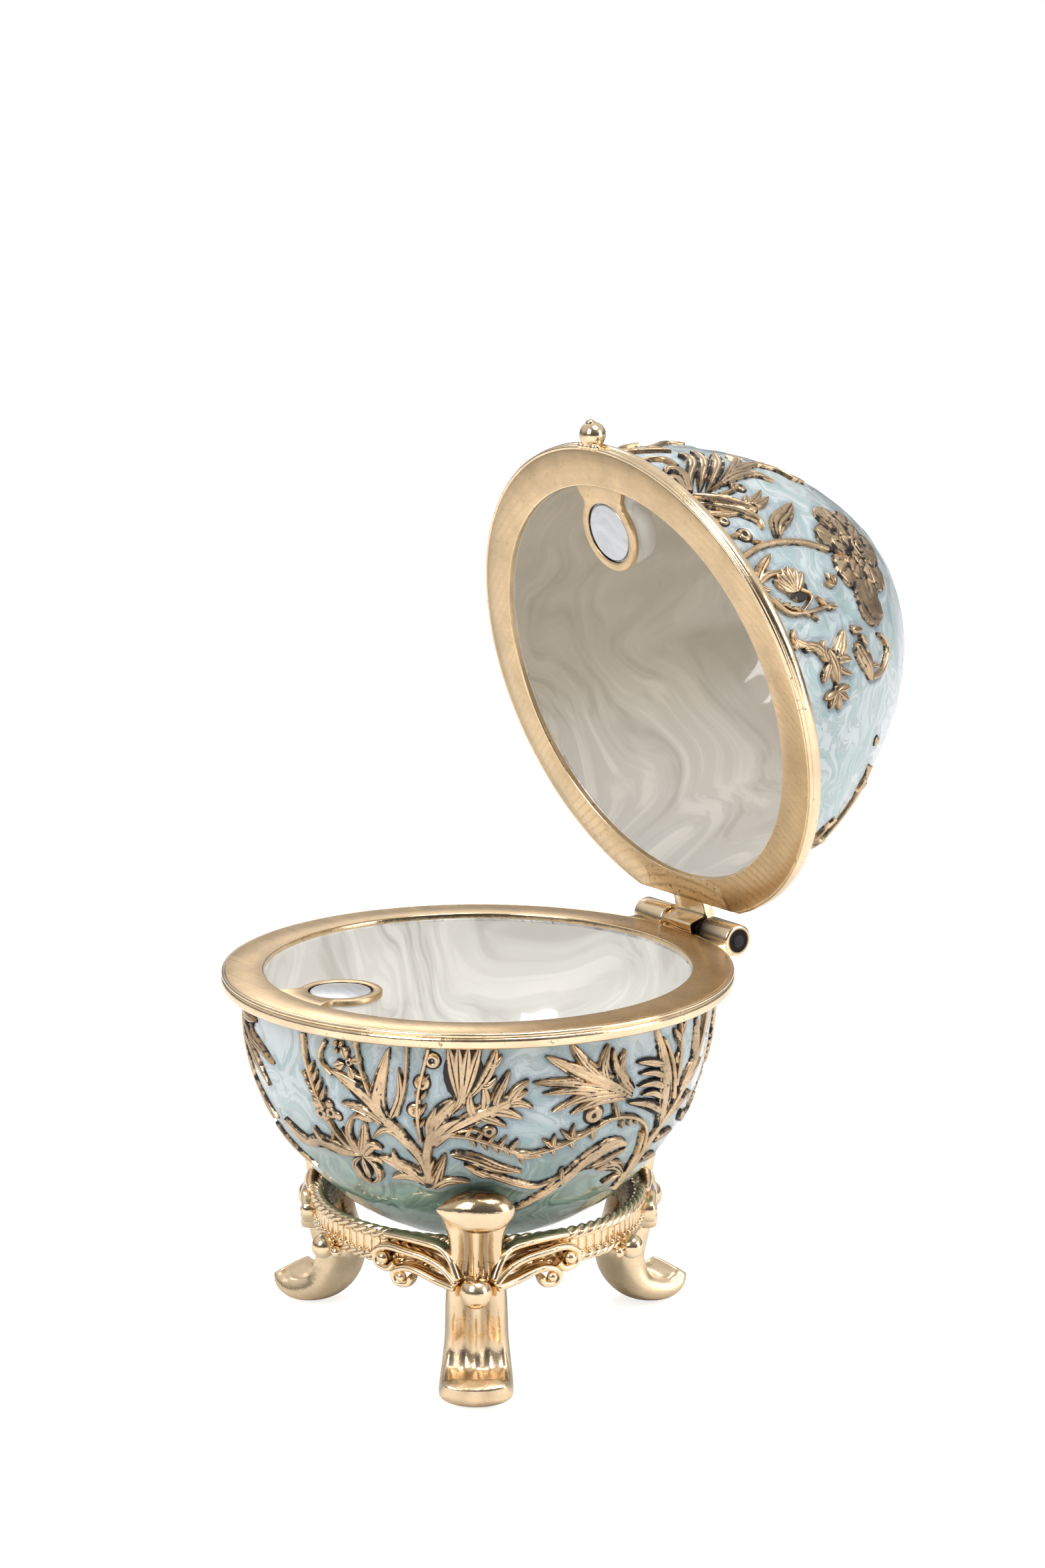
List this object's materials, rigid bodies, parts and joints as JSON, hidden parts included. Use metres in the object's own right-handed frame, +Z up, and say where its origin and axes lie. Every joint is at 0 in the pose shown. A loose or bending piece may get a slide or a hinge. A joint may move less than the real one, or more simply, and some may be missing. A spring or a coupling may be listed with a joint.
{
  "type": "egg trinket box",
  "caption": "Small enamelled egg box with gilt floral relief, a hinged lid held shut by magnets, and a collar stand on scrolled legs.",
  "frame": {"origin": "middle of the floor that the open box covers, level with the soles of the feet", "axes": "+Z up, X along the lid's hinge, -Y towards the catch and the magnets, +Y towards the hinge"},
  "size_m": [0.044, 0.0654, 0.0791],
  "materials": {
    "enamel": "glossy marbled enamel with patinated gilt relief",
    "gilt": "polished pale gold plating",
    "steel": "bright plated steel"
  },
  "bodies": {
    "base": {"bowl": "enamel", "stand": "gilt", "bowl_magnet": "steel", "hinge_pin": "steel"},
    "lid": {"lid": "enamel", "lid_magnet": "steel"}
  },
  "joints": [
    {"name": "lid_hinge", "type": "hinge", "parent": "base", "child": "lid", "pos_m": [0, 0.01255, 0.033], "axis": [1, 0, 0], "range_deg": [0, 74.5]}
  ]
}
